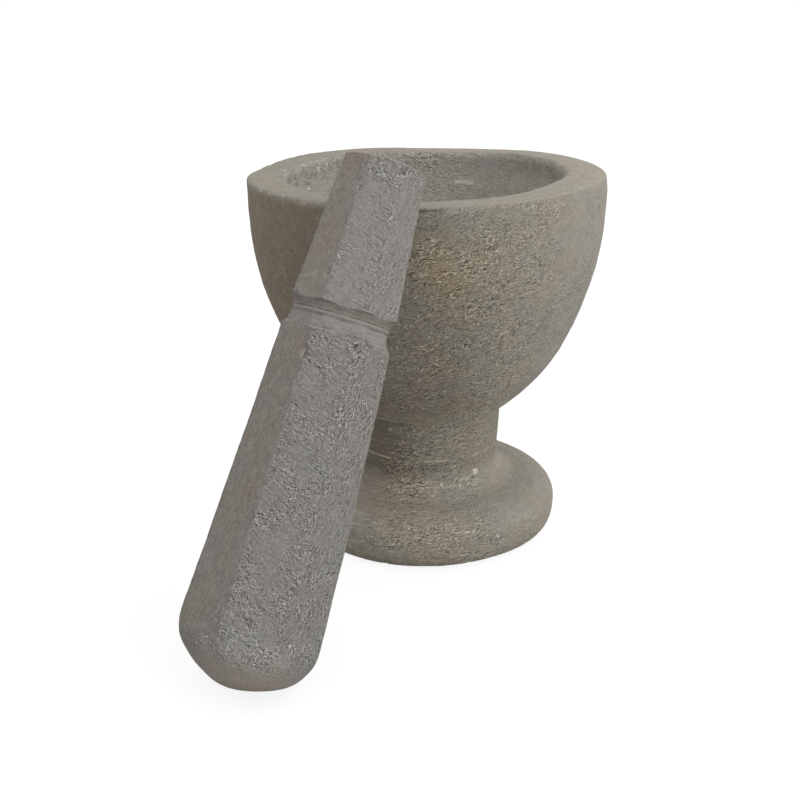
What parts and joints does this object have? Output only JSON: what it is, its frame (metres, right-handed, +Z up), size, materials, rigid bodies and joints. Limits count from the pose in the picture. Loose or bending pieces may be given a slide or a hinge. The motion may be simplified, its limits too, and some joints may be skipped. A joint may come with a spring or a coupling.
{
  "type": "mortar and pestle",
  "caption": "Footed grinding bowl turned from one block of stone, with a loose octagonal stone pestle that stands on its domed head and leans on the rim.",
  "frame": {"origin": "middle of the foot's flat underside", "axes": "+Z up along the bowl's axis, -Y towards the viewer of the picture, +X to the viewer's right"},
  "size_m": [0.1522, 0.2237, 0.1657],
  "materials": {
    "bowl_stone": "matt, turned, speckled brownish grey",
    "pestle_stone": "matt, dressed flat, bluish grey"
  },
  "bodies": {
    "bowl": {"grinding_bowl": "bowl_stone"},
    "pestle": {"pestle": "pestle_stone"}
  },
  "joints": [
    {"name": "pestle_lift", "type": "slide", "parent": "bowl", "child": "pestle", "axis": [0, 0, 1], "range_m": [0, 0.15]}
  ]
}
